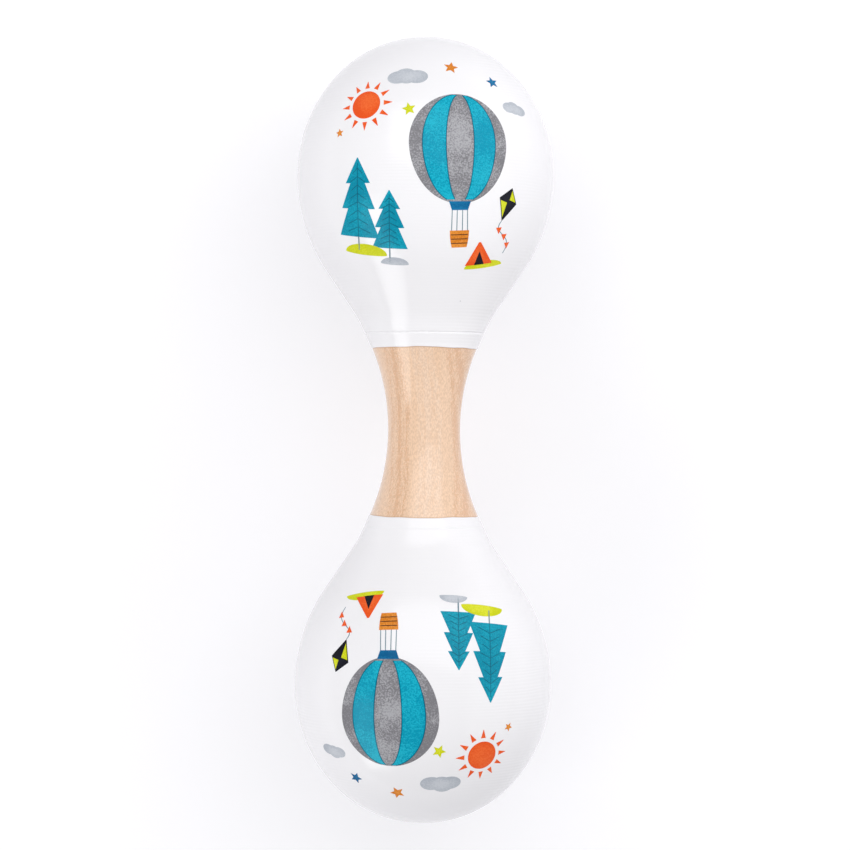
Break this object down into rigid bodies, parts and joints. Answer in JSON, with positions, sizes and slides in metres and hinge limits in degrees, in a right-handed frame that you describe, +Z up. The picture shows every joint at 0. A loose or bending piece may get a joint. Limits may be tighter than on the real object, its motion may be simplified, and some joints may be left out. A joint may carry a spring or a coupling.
{
  "type": "double maraca",
  "caption": "Wooden double maraca: hollow round rattle heads with loose beads inside, glued to the ends of a waisted turned handle.",
  "frame": {"origin": "on the table under the middle of the handle, with the toy lying on its side", "axes": "+Y along the length towards the rear head, +Z up through the printed side, +X to the right"},
  "size_m": [0.06, 0.1846, 0.06],
  "materials": {
    "bare_wood": "pale close-grained hardwood under a thin clear coat, with fine grain along the handle",
    "white_lacquer": "turned wood under glossy white lacquer, with fine turning rings and a printed picture",
    "bead_wood": "plain tumbled wood, matt"
  },
  "bodies": {
    "maraca": {"handle": "bare_wood", "front_crown": "white_lacquer", "front_neck_cup": "white_lacquer", "rear_crown": "white_lacquer", "rear_neck_cup": "white_lacquer"},
    "front_bead_01": {"front_bead_01": "bead_wood"},
    "front_bead_02": {"front_bead_02": "bead_wood"},
    "front_bead_03": {"front_bead_03": "bead_wood"},
    "front_bead_04": {"front_bead_04": "bead_wood"},
    "front_bead_05": {"front_bead_05": "bead_wood"},
    "front_bead_06": {"front_bead_06": "bead_wood"},
    "front_bead_07": {"front_bead_07": "bead_wood"},
    "front_bead_08": {"front_bead_08": "bead_wood"},
    "front_bead_09": {"front_bead_09": "bead_wood"},
    "front_bead_10": {"front_bead_10": "bead_wood"},
    "rear_bead_01": {"rear_bead_01": "bead_wood"},
    "rear_bead_02": {"rear_bead_02": "bead_wood"},
    "rear_bead_03": {"rear_bead_03": "bead_wood"},
    "rear_bead_04": {"rear_bead_04": "bead_wood"},
    "rear_bead_05": {"rear_bead_05": "bead_wood"},
    "rear_bead_06": {"rear_bead_06": "bead_wood"},
    "rear_bead_07": {"rear_bead_07": "bead_wood"},
    "rear_bead_08": {"rear_bead_08": "bead_wood"},
    "rear_bead_09": {"rear_bead_09": "bead_wood"},
    "rear_bead_10": {"rear_bead_10": "bead_wood"}
  },
  "joints": [
    {"name": "front_bead_01_bounce", "type": "slide", "parent": "maraca", "child": "front_bead_01", "axis": [0, 0, 1], "range_m": [0, 0.04212]},
    {"name": "front_bead_02_bounce", "type": "slide", "parent": "maraca", "child": "front_bead_02", "axis": [0, 0, 1], "range_m": [0, 0.04402]},
    {"name": "front_bead_03_bounce", "type": "slide", "parent": "maraca", "child": "front_bead_03", "axis": [0, 0, 1], "range_m": [0, 0.04212]},
    {"name": "front_bead_04_bounce", "type": "slide", "parent": "maraca", "child": "front_bead_04", "axis": [0, 0, 1], "range_m": [0, 0.04114]},
    {"name": "front_bead_05_bounce", "type": "slide", "parent": "maraca", "child": "front_bead_05", "axis": [0, 0, 1], "range_m": [0, 0.04494]},
    {"name": "front_bead_06_bounce", "type": "slide", "parent": "maraca", "child": "front_bead_06", "axis": [0, 0, 1], "range_m": [0, 0.04494]},
    {"name": "front_bead_07_bounce", "type": "slide", "parent": "maraca", "child": "front_bead_07", "axis": [0, 0, 1], "range_m": [0, 0.04114]},
    {"name": "front_bead_08_bounce", "type": "slide", "parent": "maraca", "child": "front_bead_08", "axis": [0, 0, 1], "range_m": [0, 0.04212]},
    {"name": "front_bead_09_bounce", "type": "slide", "parent": "maraca", "child": "front_bead_09", "axis": [0, 0, 1], "range_m": [0, 0.04402]},
    {"name": "front_bead_10_bounce", "type": "slide", "parent": "maraca", "child": "front_bead_10", "axis": [0, 0, 1], "range_m": [0, 0.04212]},
    {"name": "rear_bead_01_bounce", "type": "slide", "parent": "maraca", "child": "rear_bead_01", "axis": [0, 0, 1], "range_m": [0, 0.04212]},
    {"name": "rear_bead_02_bounce", "type": "slide", "parent": "maraca", "child": "rear_bead_02", "axis": [0, 0, 1], "range_m": [0, 0.04402]},
    {"name": "rear_bead_03_bounce", "type": "slide", "parent": "maraca", "child": "rear_bead_03", "axis": [0, 0, 1], "range_m": [0, 0.04212]},
    {"name": "rear_bead_04_bounce", "type": "slide", "parent": "maraca", "child": "rear_bead_04", "axis": [0, 0, 1], "range_m": [0, 0.04114]},
    {"name": "rear_bead_05_bounce", "type": "slide", "parent": "maraca", "child": "rear_bead_05", "axis": [0, 0, 1], "range_m": [0, 0.04494]},
    {"name": "rear_bead_06_bounce", "type": "slide", "parent": "maraca", "child": "rear_bead_06", "axis": [0, 0, 1], "range_m": [0, 0.04494]},
    {"name": "rear_bead_07_bounce", "type": "slide", "parent": "maraca", "child": "rear_bead_07", "axis": [0, 0, 1], "range_m": [0, 0.04114]},
    {"name": "rear_bead_08_bounce", "type": "slide", "parent": "maraca", "child": "rear_bead_08", "axis": [0, 0, 1], "range_m": [0, 0.04212]},
    {"name": "rear_bead_09_bounce", "type": "slide", "parent": "maraca", "child": "rear_bead_09", "axis": [0, 0, 1], "range_m": [0, 0.04402]},
    {"name": "rear_bead_10_bounce", "type": "slide", "parent": "maraca", "child": "rear_bead_10", "axis": [0, 0, 1], "range_m": [0, 0.04212]}
  ]
}
